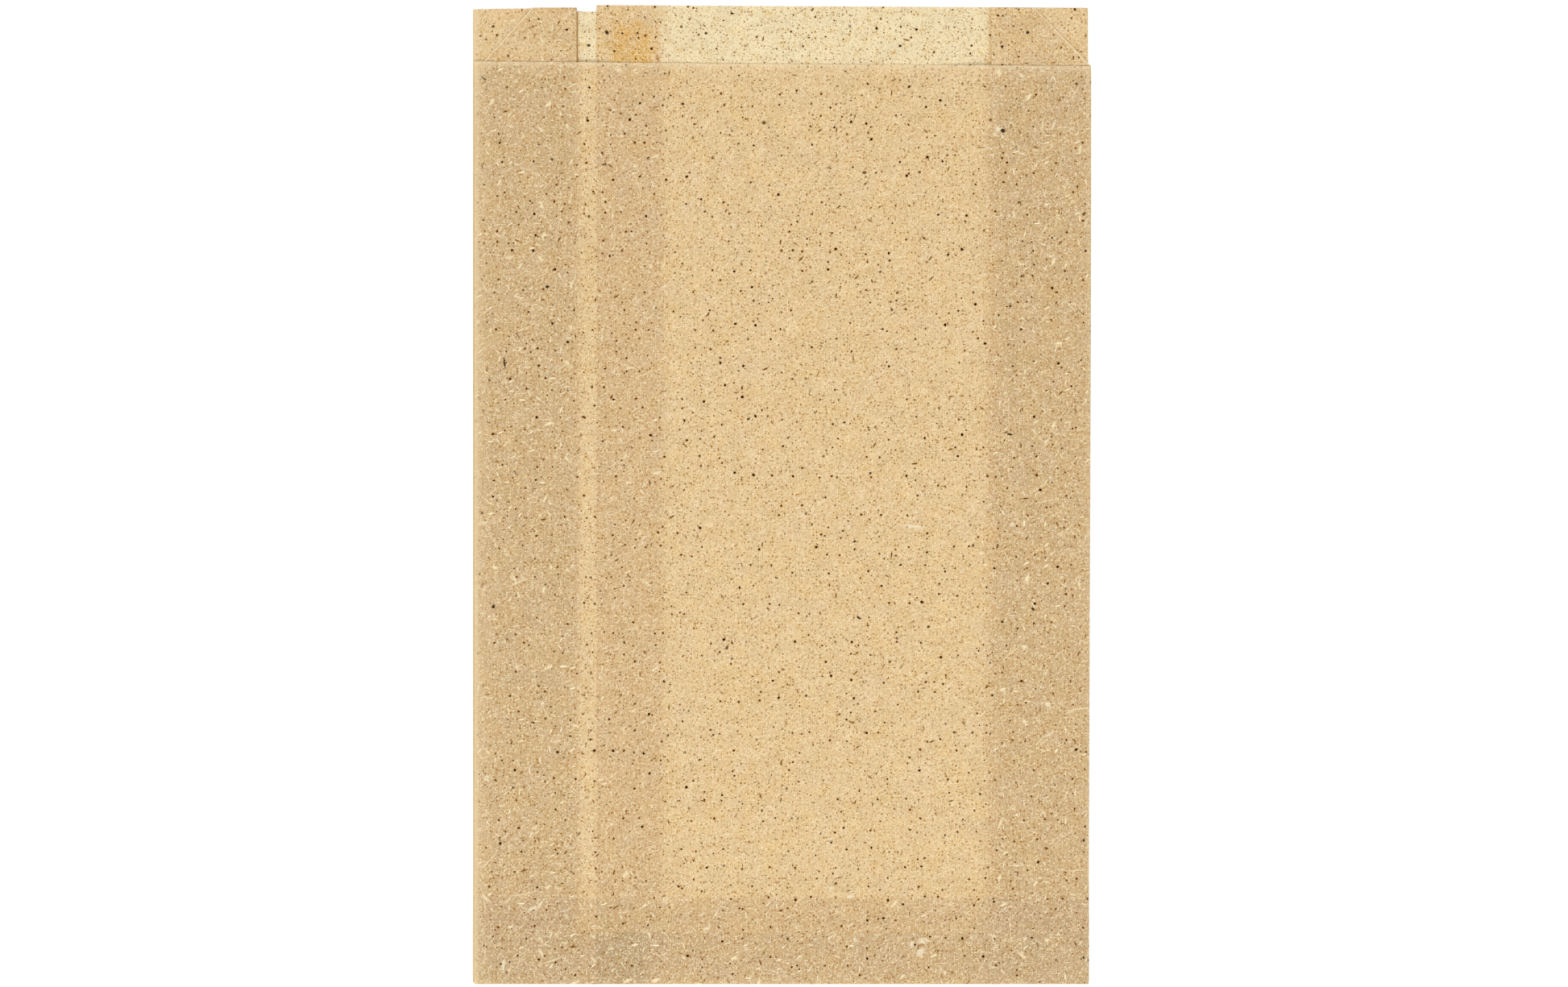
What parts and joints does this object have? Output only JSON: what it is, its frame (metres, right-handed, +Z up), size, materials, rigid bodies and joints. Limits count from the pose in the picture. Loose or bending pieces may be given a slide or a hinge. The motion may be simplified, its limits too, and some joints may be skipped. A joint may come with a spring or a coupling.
{
  "type": "paper bag",
  "caption": "Flat side-gusseted paper bag of plant-flecked unbleached paper, with a glued back seam, a stepped open mouth and a turned-over glued bottom.",
  "frame": {"origin": "middle of the bag's width and length, on the surface that it lies on", "axes": "+X to the bag's right as its front is seen, +Y from the folded bottom to the open mouth, +Z up out of the front panel; the back seam and the turned-over bottom lie underneath"},
  "size_m": [0.12, 0.19, 0.0014],
  "materials": {
    "grass_paper": "matte"
  },
  "bodies": {
    "root": {"paper_bag": "grass_paper"}
  },
  "joints": []
}
